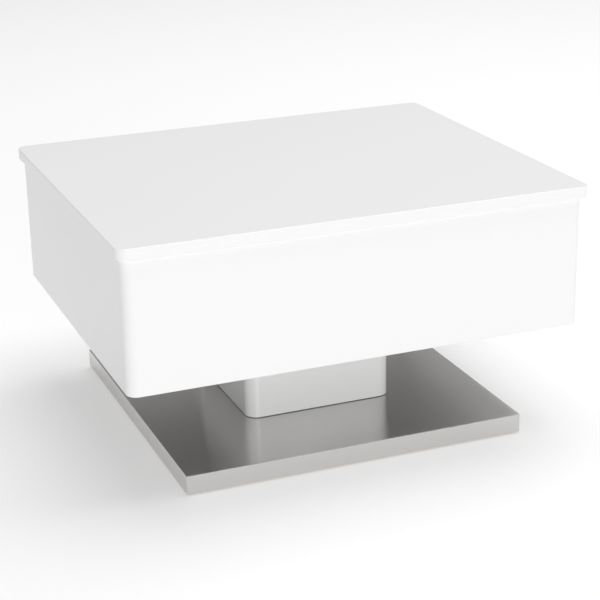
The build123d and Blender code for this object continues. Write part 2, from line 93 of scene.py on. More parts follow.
class Graph:
    # a node tree that is filled one node at a time
    def __init__(self, tree):
        self.tree = tree

    def add(self, kind, settings=None, sockets=None, out=None):
        node = self.tree.nodes.new(kind)
        for name, value in (settings or {}).items():
            if name == "stops":
                self.setStops(node.color_ramp, value)
            elif name == "items":
                for _ in range(value - len(node.index_switch_items)):
                    node.index_switch_items.new()
            else:
                setattr(node, name, value)
        for key, value in (sockets or {}).items():
            for single in value if isinstance(value, list) else [value]:
                self.plug(self.pick(node.inputs, key), single)
        return Wire(self, self.pick(node.outputs, out))

    def pick(self, sockets, key):
        if isinstance(key, int):
            return sockets[key]
        return next(s for s in sockets if s.enabled and key in (None, s.name))

    def plug(self, socket, value):
        if isinstance(value, Wire):
            self.tree.links.new(value.socket, socket)
        else:
            socket.default_value = value

    def setStops(self, ramp, stops):
        while len(ramp.elements) < len(stops):
            ramp.elements.new(0.5)
        for element, (place, level) in zip(ramp.elements, stops):
            element.position = place
            element.color = (level, level, level, 1.0)


def finish(name):
    material = bpy.data.materials.new(name)
    material.use_nodes = True
    material.node_tree.nodes.clear()
    return material, Graph(material.node_tree)


def surface(graph, sockets):
    shader = graph.add("ShaderNodeBsdfPrincipled", {}, sockets)
    output = graph.tree.nodes.new("ShaderNodeOutputMaterial")
    graph.plug(output.inputs["Surface"], shader)


def objectPlace(graph, scale=(1, 1, 1)):
    place = graph.add("ShaderNodeTexCoord", out="Object")
    return graph.add("ShaderNodeMapping", {}, {"Vector": place, "Scale": scale})


def noise(graph, place, scale, detail=2.0, rough=0.5):
    sockets = {"Vector": place, "Scale": scale, "Detail": detail, "Roughness": rough}
    return graph.add("ShaderNodeTexNoise", {}, sockets)


def ramp(graph, value, stops):
    return graph.add("ShaderNodeValToRGB", {"stops": stops}, {"Fac": value})


def tint(graph, factor, colourA, colourB):
    sockets = {"Factor": factor, "A": (*colourA, 1.0), "B": (*colourB, 1.0)}
    return graph.add("ShaderNodeMix", {"data_type": "RGBA"}, sockets)


def bump(graph, height, distance):
    sockets = {"Height": height, "Distance": distance, "Strength": 1.0}
    return graph.add("ShaderNodeBump", {}, sockets)


lacquer = dict(
    colour=(0.865, 0.868, 0.870), warmer=(0.855, 0.855, 0.850), roughness=0.19, haze=0.06,
    cloudScale=3.0, peelScale=260.0, peelDepth=0.006 * mm,
)


def whiteLacquer():
    material, graph = finish("whiteLacquer")
    place = objectPlace(graph)
    cloud = noise(graph, place, lacquer["cloudScale"], 3.0)
    peel = noise(graph, place, lacquer["peelScale"])
    surface(graph, {
        "Base Color": tint(graph, cloud, lacquer["colour"], lacquer["warmer"]),
        "Roughness": cloud * lacquer["haze"] + lacquer["roughness"],
        "Normal": bump(graph, peel, lacquer["peelDepth"]),
    })
    return material


melamine = dict(
    colour=(0.80, 0.80, 0.79), darker=(0.76, 0.76, 0.75), roughness=0.42, haze=0.12,
    cloudScale=9.0, pearlScale=1400.0, pearlDepth=0.03 * mm,
)


def whiteMelamine():
    material, graph = finish("whiteMelamine")
    place = objectPlace(graph)
    pearl = noise(graph, place, melamine["pearlScale"], 3.0)
    cloud = noise(graph, place, melamine["cloudScale"], 4.0)
    surface(graph, {
        "Base Color": tint(graph, cloud, melamine["colour"], melamine["darker"]),
        "Roughness": pearl * melamine["haze"] + melamine["roughness"],
        "Normal": bump(graph, pearl, melamine["pearlDepth"]),
    })
    return material


# painted shade: the dark grey the box floor's downward faces get in place of the shade that falls under
# the box
undersideShade = dict(
    colour=(0.255, 0.246, 0.234), darker=(0.215, 0.207, 0.196), roughness=0.7, fibreScale=900.0,
    downwards=-0.5,
)


def shadedUndersideBoard():
    # white on top and on its edges, with painted shade underneath: the faces that point down are dark
    # grey
    material, graph = finish("shadedUndersideBoard")
    place = objectPlace(graph)
    pearl = noise(graph, place, melamine["pearlScale"], 3.0)
    cloud = noise(graph, place, melamine["cloudScale"], 4.0)
    fibre = noise(graph, place, undersideShade["fibreScale"], 4.0)
    normal = graph.add("ShaderNodeNewGeometry", out="Normal")
    facing = graph.add("ShaderNodeSeparateXYZ", {}, {"Vector": normal}, out="Z")
    # faces that point down get the painted shade
    under = graph.add("ShaderNodeMath", {"operation": "LESS_THAN"}, {0: facing, 1: undersideShade["downwards"]})
    above = pearl * melamine["haze"] + melamine["roughness"]
    white = tint(graph, cloud, melamine["colour"], melamine["darker"])
    shadeGrey = tint(graph, fibre * 0.5 + cloud * 0.5, undersideShade["colour"], undersideShade["darker"])
    sockets = {"Factor": under, "A": white, "B": shadeGrey}
    surface(graph, {
        "Base Color": graph.add("ShaderNodeMix", {"data_type": "RGBA"}, sockets),
        "Roughness": above * (1.0 - under) + under * undersideShade["roughness"],
        "Normal": bump(graph, pearl, melamine["pearlDepth"]),
    })
    return material


board = dict(
    light=(0.50, 0.36, 0.215), dark=(0.36, 0.245, 0.14), roughness=0.86, layers=(1.0, 1.0, 3.0),
    fibreScale=900.0, fibreDepth=0.09 * mm, fleckScale=240.0, contrast=[(0.35, 0.0), (0.65, 1.0)],
)


def rawBoard():
    material, graph = finish("rawBoard")
    fibres = noise(graph, objectPlace(graph, board["layers"]), board["fibreScale"], 4.0, 0.7)
    flecks = noise(graph, objectPlace(graph), board["fleckScale"], 5.0, 0.75)
    mixed = ramp(graph, fibres * 0.6 + flecks * 0.4, board["contrast"])
    surface(graph, {
        "Base Color": tint(graph, mixed, board["dark"], board["light"]),
        "Roughness": board["roughness"],
        "Normal": bump(graph, fibres, board["fibreDepth"]),
    })
    return material


wood = dict(
    light=(0.66, 0.47, 0.29), dark=(0.50, 0.33, 0.18), roughness=0.6, polish=-0.08,
    grainScale=180.0, grainStretch=(1.0, 1.0, 0.06), grainDepth=0.06 * mm,
    fleckScale=520.0, fleckStretch=(1.0, 1.0, 0.12), fleckStops=[(0.6, 0.0), (0.68, 1.0)],
)


def beechWood():
    material, graph = finish("beechWood")
    rings = noise(graph, objectPlace(graph, wood["grainStretch"]), wood["grainScale"], 3.0)
    flecks = noise(graph, objectPlace(graph, wood["fleckStretch"]), wood["fleckScale"])
    mask = ramp(graph, flecks, wood["fleckStops"])
    surface(graph, {
        "Base Color": tint(graph, rings * 0.75 + mask * 0.25, wood["light"], wood["dark"]),
        "Roughness": mask * wood["polish"] + wood["roughness"],
        "Normal": bump(graph, rings, wood["grainDepth"]),
    })
    return material


steel = dict(
    colour=(0.735, 0.728, 0.715), darker=(0.660, 0.653, 0.640), roughness=0.17, haze=0.07,
    hairHaze=0.02, cloudScale=7.0, streakAlong=10.0, streakAcross=620.0, hairAlong=60.0,
    hairAcross=2400.0, smear=1.0, quarterTurn=0.25, endFacing=0.7,
)


def brushedStainless():
    # hairlines run along X on the top, front and back and along Y on the two ends
    material, graph = finish("brushedStainless")
    normal = graph.add("ShaderNodeNewGeometry", out="Normal")
    facing = graph.add("ShaderNodeSeparateXYZ", {}, {"Vector": normal}, out="X")
    slant = graph.add("ShaderNodeMath", {"operation": "ABSOLUTE"}, {0: facing})
    sockets = {0: slant, 1: steel["endFacing"]}
    sideways = graph.add("ShaderNodeMath", {"operation": "GREATER_THAN"}, sockets)

    def brushed(along, across, detail):
        one = noise(graph, objectPlace(graph, (along, across, across)), 1.0, detail)
        two = noise(graph, objectPlace(graph, (across, along, across)), 1.0, detail)
        return one * (1.0 - sideways) + two * sideways

    streak = brushed(steel["streakAlong"], steel["streakAcross"], 2.0)
    hair = brushed(steel["hairAlong"], steel["hairAcross"], 0.0)
    cloud = noise(graph, objectPlace(graph), steel["cloudScale"])
    mixed = streak * 0.4 + hair * 0.3 + cloud * 0.3
    surface(graph, {
        "Base Color": tint(graph, mixed, steel["darker"], steel["colour"]),
        "Metallic": 1.0,
        "Roughness": cloud * steel["haze"] + hair * steel["hairHaze"] + steel["roughness"],
        "Anisotropic": steel["smear"],
        "Anisotropic Rotation": steel["quarterTurn"],      # reflections smear across the hairlines
    })
    return material


patina = dict(cloudScale=60.0, haze=0.16)


def metal(name, light, dark, roughness, grainScale, depth, metallic=1.0):
    material, graph = finish(name)
    place = objectPlace(graph)
    grain = noise(graph, place, grainScale, 3.0)
    cloud = noise(graph, place, patina["cloudScale"], 4.0)
    surface(graph, {
        "Base Color": tint(graph, cloud, light, dark),
        "Metallic": metallic,
        "Roughness": cloud * patina["haze"] + (roughness - patina["haze"] / 2),
        "Normal": bump(graph, grain, depth),
    })
    return material


def zincSteel():
    return metal("zincSteel", (0.66, 0.67, 0.69), (0.52, 0.54, 0.57), 0.30, 1800.0, 0.01 * mm)


def springSteel():
    return metal("springSteel", (0.20, 0.20, 0.205), (0.11, 0.11, 0.115), 0.34, 1500.0, 0.012 * mm)


def brassInsert():
    return metal("brassInsert", (0.78, 0.60, 0.30), (0.62, 0.45, 0.20), 0.28, 1600.0, 0.01 * mm)


def blackSteel():
    # the powder coat hides the metal
    return moulded("blackSteel", (0.018, 0.018, 0.020), (0.030, 0.030, 0.032), 0.46, 1300.0, 0.045 * mm)


def moulded(name, light, dark, roughness, grainScale, depth):
    return metal(name, light, dark, roughness, grainScale, depth, 0.0)


def blackPlastic():
    return moulded("blackPlastic", (0.022, 0.022, 0.022), (0.030, 0.030, 0.030), 0.55, 1100.0, 0.05 * mm)


def whiteNylon():
    return moulded("whiteNylon", (0.80, 0.79, 0.74), (0.74, 0.72, 0.66), 0.48, 900.0, 0.02 * mm)


def blackRubber():
    return moulded("blackRubber", (0.014, 0.014, 0.014), (0.022, 0.022, 0.022), 0.75, 1000.0, 0.06 * mm)


gel = dict(
    colour=(0.80, 0.80, 0.78), darker=(0.72, 0.72, 0.70), roughness=0.18, haze=0.1, cloudScale=300.0,
    depth=0.02 * mm, glowWeight=0.3, glowReach=1.5 * mm,
)


def clearRubber():
    material, graph = finish("clearRubber")
    cloud = noise(graph, objectPlace(graph), gel["cloudScale"])
    surface(graph, {
        "Base Color": tint(graph, cloud, gel["colour"], gel["darker"]),
        "Roughness": cloud * gel["haze"] + gel["roughness"],
        "Subsurface Weight": gel["glowWeight"],
        "Subsurface Scale": gel["glowReach"],
        "Normal": bump(graph, cloud, gel["depth"]),
    })
    return material


finishes = {
    "white_lacquer": whiteLacquer(), "white_melamine": whiteMelamine(), "raw_board": rawBoard(),
    "beech": beechWood(), "brushed_stainless": brushedStainless(), "zinc_steel": zincSteel(),
    "black_steel": blackSteel(), "spring_steel": springSteel(), "brass_insert": brassInsert(),
    "black_plastic": blackPlastic(), "white_nylon": whiteNylon(), "clear_rubber": clearRubber(),
    "black_rubber": blackRubber(),
}
finishOf = {node: finishes[slotName] for node, slotName in slotOf.items()}
# the box floor is white with painted shade on its underside
finishOf["box_floor"] = shadedUndersideBoard()
bodies = frame["record"]["behaviour"]["bodies"]
bodyOf = {node: body for body, members in bodies.items() for node in members}
for name, node in cadNodes.items():
    for materialSlot in node.material_slots:
        materialSlot.material = finishOf[name]
print("finishes:", len(finishes))


def settle(piece, node):
    # a finished piece takes over a CAD node's finish and place
    piece.data.materials.clear()
    piece.data.materials.append(finishOf[node])
    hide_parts(node)
    return piece


def newPiece(name, mesh):
    piece = bpy.data.objects.new(name, mesh)
    bpy.context.scene.collection.objects.link(piece)
    return piece


def bake(piece):
    # turns the piece and its modifiers into one plain mesh
    seen = bpy.context.evaluated_depsgraph_get()
    mesh = bpy.data.meshes.new_from_object(
        piece.evaluated_get(seen), preserve_all_data_layers=True, depsgraph=seen)
    piece.modifiers.clear()
    piece.data = mesh
    return piece


smoothUpTo = radians(35)


def shadeWell(piece):
    # flat faces stay flat and the narrow bends between them carry the turn
    mesh = piece.data
    mesh.shade_smooth()
    mesh.set_sharp_from_angle(angle=smoothUpTo)
    weights = piece.modifiers.new("weights", "WEIGHTED_NORMAL")
    weights.keep_sharp = True
    return bake(piece)


weldGap = 2e-6
fineWeldGap = 1e-6


def cleaned(mesh):
    work = bmesh.new()
    work.from_mesh(mesh)
    bmesh.ops.remove_doubles(work, verts=work.verts, dist=weldGap)
    bmesh.ops.recalc_face_normals(work, faces=work.faces)
    work.to_mesh(mesh)
    work.free()


# wall and corner are the CAD sizes, foot, rim and inner are the radii of the broken edges
boxWalls = dict(
    nodes=("box_front", "box_right", "box_back", "box_left"),
    wall=18 * mm, corner=18 * mm, foot=1.2 * mm, rim=0.8 * mm, inner=0.3 * mm,
)
pedestalWalls = dict(
    nodes=("pedestal_front", "pedestal_right", "pedestal_back", "pedestal_left"),
    wall=16 * mm, corner=22 * mm, foot=0.6 * mm, rim=0.4 * mm, inner=0.3 * mm,
)
cornerSteps = 16
bendSteps = 4


def wallMesh(name, halfRun, reach, outward, sizes, low, high):
    # one mitred panel: the section is swept round half a corner, along and round half the next
    along = Vector((-outward.y, outward.x, 0.0))
    wall, corner = sizes["wall"], sizes["corner"]
    stations = []
    for end, first in ((-1, -45), (1, 0)):
        centre = along * end * (halfRun - corner) + outward * (reach - corner)
        for step in range(cornerSteps + 1):
            turn = radians(first + 45 * step / cornerSteps)
            stations.append((centre, along * sin(turn) + outward * cos(turn)))
    # each bend of the section: inset and height of its centre, radius, first and last angle
    bends = [
        (sizes["foot"], low + sizes["foot"], sizes["foot"], -90, 0),
        (sizes["rim"], high - sizes["rim"], sizes["rim"], 0, 90),
        (wall - sizes["rim"], high - sizes["rim"], sizes["rim"], 90, 180),
        (wall - sizes["inner"], low + sizes["inner"], sizes["inner"], 180, 270),
    ]
    section = []
    for inset, height, bend, first, last in bends:
        for step in range(bendSteps + 1):
            turn = radians(first + (last - first) * step / bendSteps)
            across, upward = cos(turn), sin(turn)
            section.append((inset - bend * across, height + bend * upward, across, upward))
    points, normals, index = [], [], {}
    grid = []
    for centre, direction in stations:
        row = []
        for inset, height, outPart, upPart in section:
            point = centre + direction * (corner - inset)
            point.z = height
            facing = outward if corner - inset < fineWeldGap else direction
            key = tuple(round(value, 7) for value in point)
            if key not in index:
                index[key] = len(points)
                points.append(point)
                normals.append((facing * outPart + Vector((0, 0, upPart))).normalized())
            row.append(index[key])
        grid.append(row)
    faces = []
    count = len(section)
    for here, there in zip(grid, grid[1:]):
        for step in range(count):
            after = (step + 1) % count
            corners = [here[step], there[step], there[after], here[after]]
            corners = [c for spot, c in enumerate(corners) if c != corners[spot - 1]]
            if len(set(corners)) > 2:
                faces.append(corners)
    sweptFaces = len(faces)
    for row in (grid[0], grid[-1][::-1]):
        faces.append([c for spot, c in enumerate(row) if c != row[spot - 1]])
    mesh = bpy.data.meshes.new(name)
    mesh.from_pydata(points, [], faces)
    mesh.shade_smooth()
    loopNormals = []
    for polygon in mesh.polygons:
        mitre = polygon.index >= sweptFaces
        for vertex in polygon.vertices:
            loopNormals.append(polygon.normal if mitre else normals[vertex])
    mesh.normals_split_custom_set(loopNormals)
    return mesh


def makeWalls(sizes):
    outer = [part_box(node) for node in sizes["nodes"]]
    low = Vector(map(min, zip(*(box[0] for box in outer))))
    high = Vector(map(max, zip(*(box[1] for box in outer))))
    directions = (Vector((0, -1, 0)), Vector((1, 0, 0)), Vector((0, 1, 0)), Vector((-1, 0, 0)))
    for node, outward in zip(sizes["nodes"], directions):
        halfRun, reach = (high.x, high.y) if outward.x == 0 else (high.y, high.x)
        mesh = wallMesh(node + "_panel", halfRun, reach, outward, sizes, low.z, high.z)
        piece = settle(newPiece(node + "_panel", mesh), node)
        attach(piece, bodyOf[node])


makeWalls(boxWalls)
makeWalls(pedestalWalls)
print("walls: 8 panels")


def nodeTree(name, sizes):
    # a Geometry Nodes tree with one named input for each size
    tree = bpy.data.node_groups.new(name, "GeometryNodeTree")
    face = tree.interface
    face.new_socket(name="Geometry", in_out="INPUT", socket_type="NodeSocketGeometry")
    kinds = {int: "NodeSocketInt", float: "NodeSocketFloat"}
    for label, value in sizes.items():
        face.new_socket(name=label, in_out="INPUT", socket_type=kinds[type(value)])
    face.new_socket(name="Finish", in_out="INPUT", socket_type="NodeSocketMaterial")
    face.new_socket(name="Geometry", in_out="OUTPUT", socket_type="NodeSocketGeometry")
    graph = Graph(tree)
    entry = tree.nodes.new("NodeGroupInput")
    given = {socket.name: Wire(graph, socket) for socket in entry.outputs if socket.name}
    return tree, graph, given


def closeTree(graph, geometry, given):
    whole = graph.add("GeometryNodeRealizeInstances", {}, {"Geometry": geometry})
    painted = graph.add("GeometryNodeSetMaterial", {}, {"Geometry": whole, "Material": given["Finish"]})
    leave = graph.tree.nodes.new("NodeGroupOutput")
    graph.tree.links.new(painted.socket, leave.inputs[0])


def grown(name, tree, sizes, material, places=None, axes=None):
    # runs a tree on one point for each place and keeps the plain mesh
    mesh = bpy.data.meshes.new(name)
    mesh.from_pydata(places or [(0, 0, 0)], [], [])
    pointing = mesh.attributes.new("axis", "FLOAT_VECTOR", "POINT")
    for spot, datum in enumerate(pointing.data):
        datum.vector = axes[spot] if axes else (0, 0, 1)
    piece = newPiece(name, mesh)
    modifier = piece.modifiers.new("shape", "NODES")
    modifier.node_group = tree
    for item in tree.interface.items_tree:
        if item.in_out == "INPUT" and item.name in sizes:
            modifier[item.identifier] = sizes[item.name]
        if item.name == "Finish":
            modifier[item.identifier] = material
    bake(piece)
    cleaned(piece.data)
    return shadeWell(piece)


def switchBy(graph, index, values):
    settings = {"data_type": "FLOAT", "items": len(values)}
    sockets = {"Index": index}
    sockets.update({spot + 1: value for spot, value in enumerate(values)})
    return graph.add("GeometryNodeIndexSwitch", settings, sockets)


def circle(graph, steps, radius):
    sockets = {"Resolution": steps, "Radius": radius}
    return graph.add("GeometryNodeCurvePrimitiveCircle", {"mode": "RADIUS"}, sockets, out="Curve")


hairStep = 1e-7


def turned(graph, outline, steps):
    # a bar about Z whose outline is (radius, height) from one flat end to the other,
    # with points of one height kept a hair apart
    index = graph.add("GeometryNodeInputIndex")
    line = graph.add("GeometryNodeMeshLine", {"mode": "OFFSET"}, {"Count": len(outline)})
    heights = switchBy(graph, index, [height for radius, height in outline])
    nudged = heights + index * hairStep
    spots = graph.add("ShaderNodeCombineXYZ", {}, {"Z": nudged})
    line = graph.add("GeometryNodeSetPosition", {}, {"Geometry": line, "Position": spots})
    path = graph.add("GeometryNodeMeshToCurve", {}, {"Mesh": line})
    rim = circle(graph, steps, 1.0)
    radii = switchBy(graph, index, [radius for radius, height in outline])
    sockets = {"Curve": path, "Profile Curve": rim, "Scale": radii, "Fill Caps": True}
    return graph.add("GeometryNodeCurveToMesh", {}, sockets)


def placed(graph, given, single):
    # one copy on each point, with its Z along the point's axis
    settings = {"data_type": "FLOAT_VECTOR"}
    axis = graph.add("GeometryNodeInputNamedAttribute", settings, {"Name": "axis"}, out="Attribute")
    turn = graph.add("FunctionNodeAlignRotationToVector", {"axis": "Z"}, {"Vector": axis})
    spots = graph.add("GeometryNodeMeshToPoints", {}, {"Mesh": given["Geometry"]})
    sockets = {"Points": spots, "Instance": single, "Rotation": turn}
    return graph.add("GeometryNodeInstanceOnPoints", {}, sockets)


def raised(graph, shape, height):
    rise = graph.add("ShaderNodeCombineXYZ", {}, {"Z": height})
    return graph.add("GeometryNodeTransform", {}, {"Geometry": shape, "Translation": rise})


def islands(node):
    # lowest and highest corner of each separate solid of a CAD node
    work = bmesh.new()
    work.from_mesh(cadNodes[node].data)
    bmesh.ops.remove_doubles(work, verts=work.verts, dist=fineWeldGap)
    boxes, seen = [], set()
    for start in work.verts:
        if start in seen:
            continue
        group, edge = [], [start]
        seen.add(start)
        while edge:
            vertex = edge.pop()
            group.append(vertex.co.copy())
            for link in vertex.link_edges:
                other = link.other_vert(vertex)
                if other not in seen:
                    seen.add(other)
                    edge.append(other)
        boxes.append((Vector(map(min, zip(*group))), Vector(map(max, zip(*group)))))
    work.free()
    return boxes


# here and below, a size of 0.0 is read from the CAD node when the piece is made
lidSizes = {
    "Length": 0.0, "Depth": 0.0, "Thickness": 0.0, "Corner": 18 * mm, "Edge": 1.5 * mm,
    "CornerSteps": 20, "EdgeSteps": 6,
}


def lidTree():
    # a rounded rectangle with a soft edge run round it
    tree, graph, given = nodeTree("lidShape", lidSizes)
    edge = given["Edge"]
    outline = graph.add("GeometryNodeCurvePrimitiveQuadrilateral", {}, {
        "Width": given["Length"] - edge * 2.0, "Height": given["Depth"] - edge * 2.0,
    })
    outline = graph.add("GeometryNodeFilletCurve", {"mode": "POLY"}, {
        "Curve": outline, "Radius": given["Corner"] - edge, "Count": given["CornerSteps"],
    })
    outline = graph.add("GeometryNodeSetCurveNormal", {"mode": "Z_UP"}, {"Curve": outline})
    half = given["Thickness"] * 0.5
    steps = given["EdgeSteps"]
    index = graph.add("GeometryNodeInputIndex")
    # the rim's outline turns a quarter at the top, drops, and turns a quarter at the bottom
    rimLine = graph.add("GeometryNodeMeshLine", {"mode": "OFFSET"}, {"Count": steps * 2.0 + 2.0})
    lower = graph.add("ShaderNodeMath", {"operation": "GREATER_THAN"}, {0: index, 1: steps})
    turn = (index - lower) / steps * (pi / 2)
    outPart = graph.add("ShaderNodeMath", {"operation": "SINE"}, {0: turn})
    upPart = graph.add("ShaderNodeMath", {"operation": "COSINE"}, {0: turn})
    middle = (half - edge) * (1.0 - lower * 2.0)
    sockets = {"X": outPart * edge, "Y": middle + upPart * edge}
    spots = graph.add("ShaderNodeCombineXYZ", {}, sockets)
    rimLine = graph.add("GeometryNodeSetPosition", {}, {"Geometry": rimLine, "Position": spots})
    rim = graph.add("GeometryNodeMeshToCurve", {}, {"Mesh": rimLine})
    around = graph.add("GeometryNodeCurveToMesh", {}, {"Curve": outline, "Profile Curve": rim})
    flat = graph.add("GeometryNodeFillCurve", {"mode": "NGONS"}, {"Curve": outline})
    caps = [raised(graph, flat, half * sign) for sign in (1.0, -1.0)]
    whole = graph.add("GeometryNodeJoinGeometry", {}, {"Geometry": [around, *caps]})
    whole = graph.add("GeometryNodeMergeByDistance", {}, {"Geometry": whole, "Distance": fineWeldGap})
    closeTree(graph, placed(graph, given, whole), given)
    return tree


def makeLid():
    low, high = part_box("lid")
    length, depth, thickness = high - low
    sizes = dict(lidSizes, Length=length, Depth=depth, Thickness=thickness)
    piece = grown("lid_board", lidTree(), sizes, finishOf["lid"], [tuple((low + high) / 2)])
    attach(settle(piece, "lid"), bodyOf["lid"])


makeLid()
print("lid: made")


def taken(graph, whole, tool):
    settings = {"operation": "DIFFERENCE", "solver": "EXACT"}
    return graph.add("GeometryNodeMeshBoolean", settings, {"Mesh 1": whole, "Mesh 2": [tool]})


boltSizes = {
    "HeadRadius": 6.5 * mm, "HeadHeight": 0.0, "ShankRadius": 4 * mm, "Length": 0.0,
    "Key": 5 * mm, "KeyDepth": 3 * mm, "Edge": 0.5 * mm, "Steps": 40,
}


def boltTree():
    # a socket head that sits on the point's plane, with its shank along the axis
    tree, graph, given = nodeTree("boltShape", boltSizes)
    head, top, shank = given["HeadRadius"], given["HeadHeight"], given["ShankRadius"]
    length, edge = given["Length"], given["Edge"]
    outline = [
        (head - edge, -top), (head - edge * 0.3, -top + edge * 0.3), (head, -top + edge),
        (head, 0.0 - edge * 0.4), (head - edge * 0.4, 0.0), (shank, 0.0),
        (shank, length - edge), (shank - edge, length),
    ]
    whole = turned(graph, outline, given["Steps"])
    sockets = {"Vertices": 6, "Radius": given["Key"] / sqrt(3.0), "Depth": given["KeyDepth"] * 2.0}
    key = graph.add("GeometryNodeMeshCylinder", {}, sockets, out="Mesh")
    whole = taken(graph, whole, raised(graph, key, -top))
    closeTree(graph, placed(graph, given, whole), given)
    return tree


screwSizes = {
    "HeadRadius": 4 * mm, "ShankRadius": 2 * mm, "Length": 14 * mm, "Dome": 2.3 * mm, "Slot": 4.4 * mm,
    "SlotWidth": 0.9 * mm, "SlotDepth": 1.2 * mm, "Lip": 0.25 * mm, "Steps": 32,
}
glideScrewSizes = dict(screwSizes, HeadRadius=3.5 * mm, ShankRadius=1.75 * mm, Slot=3.9 * mm)


def screwTree(name, domed):
    # a wood screw with a cross recess: a countersunk head lies under the point's plane
    # and a domed one stands on it
    tree, graph, given = nodeTree(name, screwSizes)
    head, shank, length = given["HeadRadius"], given["ShankRadius"], given["Length"]
    lip, dome = given["Lip"], given["Dome"]
    if domed:
        outline = [
            (head * 0.50, -dome), (head * 0.80, dome * -0.86), (head * 0.95, dome * -0.55),
            (head, dome * -0.2), (head, 0.0), (shank, 0.0),
        ]
    else:
        outline = [(head - lip, 0.0), (head, lip * 0.4), (head, lip), (shank, head - shank)]
    outline += [(shank, length - shank * 1.6), (shank * 0.12, length)]
    whole = turned(graph, outline, given["Steps"])
    for first, second in (("Slot", "SlotWidth"), ("SlotWidth", "Slot")):
        sockets = {"X": given[first], "Y": given[second], "Z": given["SlotDepth"] * 2.0}
        size = graph.add("ShaderNodeCombineXYZ", {}, sockets)
        bar = graph.add("GeometryNodeMeshCube", {}, {"Size": size}, out="Mesh")
        whole = taken(graph, whole, raised(graph, bar, -dome) if domed else bar)
    closeTree(graph, placed(graph, given, whole), given)
    return tree


washerSizes = {
    "Outer": 8.5 * mm, "Bore": 4.1 * mm, "Thickness": 1.6 * mm, "Edge": 0.25 * mm, "Steps": 48,
}


def washerTree():
    tree, graph, given = nodeTree("washerShape", washerSizes)
    outer, edge, thick = given["Outer"], given["Edge"], given["Thickness"]
    outline = [(outer - edge, 0.0), (outer, edge), (outer, thick - edge), (outer - edge, thick)]
    whole = turned(graph, outline, given["Steps"])
    sockets = {"Vertices": given["Steps"], "Radius": given["Bore"], "Depth": thick * 4.0}
    whole = taken(graph, whole, graph.add("GeometryNodeMeshCylinder", {}, sockets, out="Mesh"))
    closeTree(graph, placed(graph, given, whole), given)
    return tree


glideSizes = {
    "Radius": 16 * mm, "Height": 3 * mm, "Chamfer": 0.6 * mm, "Sink": 4.1 * mm, "SinkStart": 0.5 * mm,
    "Hole": 1.8 * mm, "Steps": 48,
}


def glideTree():
    # a round foot with a chamfered sole and a countersunk hole for its screw
    tree, graph, given = nodeTree("glideShape", glideSizes)
    radius, height, chamfer = given["Radius"], given["Height"], given["Chamfer"]
    outline = [
        (radius - chamfer, 0.0), (radius - chamfer * 0.35, chamfer * 0.3), (radius, chamfer),
        (radius, height),
    ]
    whole = turned(graph, outline, given["Steps"])
    sink, start, hole = given["Sink"], given["SinkStart"], given["Hole"]
    recess = [(sink, 0.0 - height), (sink, start), (hole, sink - hole + start), (hole, height * 2.0)]
    whole = taken(graph, whole, turned(graph, recess, given["Steps"]))
    closeTree(graph, placed(graph, given, whole), given)
    return tree


bumperSizes = {
    "Radius": 6 * mm, "Height": 0.0, "Stem": 2.5 * mm, "StemLength": 6 * mm, "Steps": 32,
}
domeSteps = 7


def bumperTree():
    # a soft dome on a stem that is pressed into the corner block
    tree, graph, given = nodeTree("bumperShape", bumperSizes)
    radius, height = given["Radius"], given["Height"]
    stem, length = given["Stem"], given["StemLength"]
    outline = [
        (stem * 0.7, -length), (stem, stem * 0.3 - length), (stem, 0.0), (radius * 0.96, 0.0),
        (radius, height * 0.15),
    ]
    for step in range(1, domeSteps):
        turn = radians(90 * step / domeSteps)
        outline.append((radius * cos(turn), height * (0.15 + 0.85 * sin(turn))))
    outline.append((radius * 0.05, height))
    closeTree(graph, placed(graph, given, turned(graph, outline, given["Steps"])), given)
    return tree


def seats(node, axis):
    # for each solid, the point at the back end of its middle line along the axis
    places, axes = [], []
    for low, high in islands(node):
        middle = (low + high) / 2
        way = axis(middle) if callable(axis) else Vector(axis)
        reach = Vector((high - low)[i] / 2 for i in range(3))
        places.append(tuple(middle - Vector(way[i] * reach[i] for i in range(3))))
        axes.append(tuple(way))
    return places, axes


def towardsWall(middle):
    return Vector((-1.0 if middle.x < 0 else 1.0, 0.0, 0.0))


def makeFastener(node, tree, sizes, axis, sink=0.0):
    places, axes = seats(node, axis)
    places = [tuple(Vector(place) + Vector(way) * sink) for place, way in zip(places, axes)]
    piece = grown(node + "_set", tree, sizes, finishOf[node], places, axes)
    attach(settle(piece, node), bodyOf[node])


boltHeads = {"plinth_bolts": (8 * mm, (0, 0, 1)), "box_bolts": (4.5 * mm, (0, 0, -1))}


def makeFasteners():
    up = (0, 0, 1)
    bolts, washers = boltTree(), washerTree()
    screws, domedScrews = screwTree("flatScrew", False), screwTree("domedScrew", True)
    for node, (head, axis) in boltHeads.items():
        low, high = islands(node)[0]
        sizes = dict(boltSizes, HeadHeight=head, Length=high.z - low.z - head)
        makeFastener(node, bolts, sizes, axis, sink=head)
    for node in ("plinth_washers", "box_washers"):
        makeFastener(node, washers, washerSizes, up)
    makeFastener("glide_screws", screws, glideScrewSizes, up)
    makeFastener("lid_bracket_screws", domedScrews, screwSizes, up, sink=screwSizes["Dome"])
    makeFastener("base_bracket_screws", screws, screwSizes, towardsWall)
    makeFastener("floor_glides", glideTree(), glideSizes, up)
    low, high = islands("rim_bumpers")[0]
    stem = bumperSizes["StemLength"]
    sizes = dict(bumperSizes, Height=high.z - low.z - stem)
    makeFastener("rim_bumpers", bumperTree(), sizes, up, sink=stem)


makeFasteners()
print("fasteners: made")


springSizes = {
    "Wire": 1.5 * mm, "CoilRadius": 0.0, "Start": 0.0, "End": 0.0, "Turns": 5, "FixedLeg": 0.0,
    "MovingLeg": 0.0, "PivotY": 0.0, "PivotZ": 0.0, "PerTurn": 36, "Steps": 14,
}


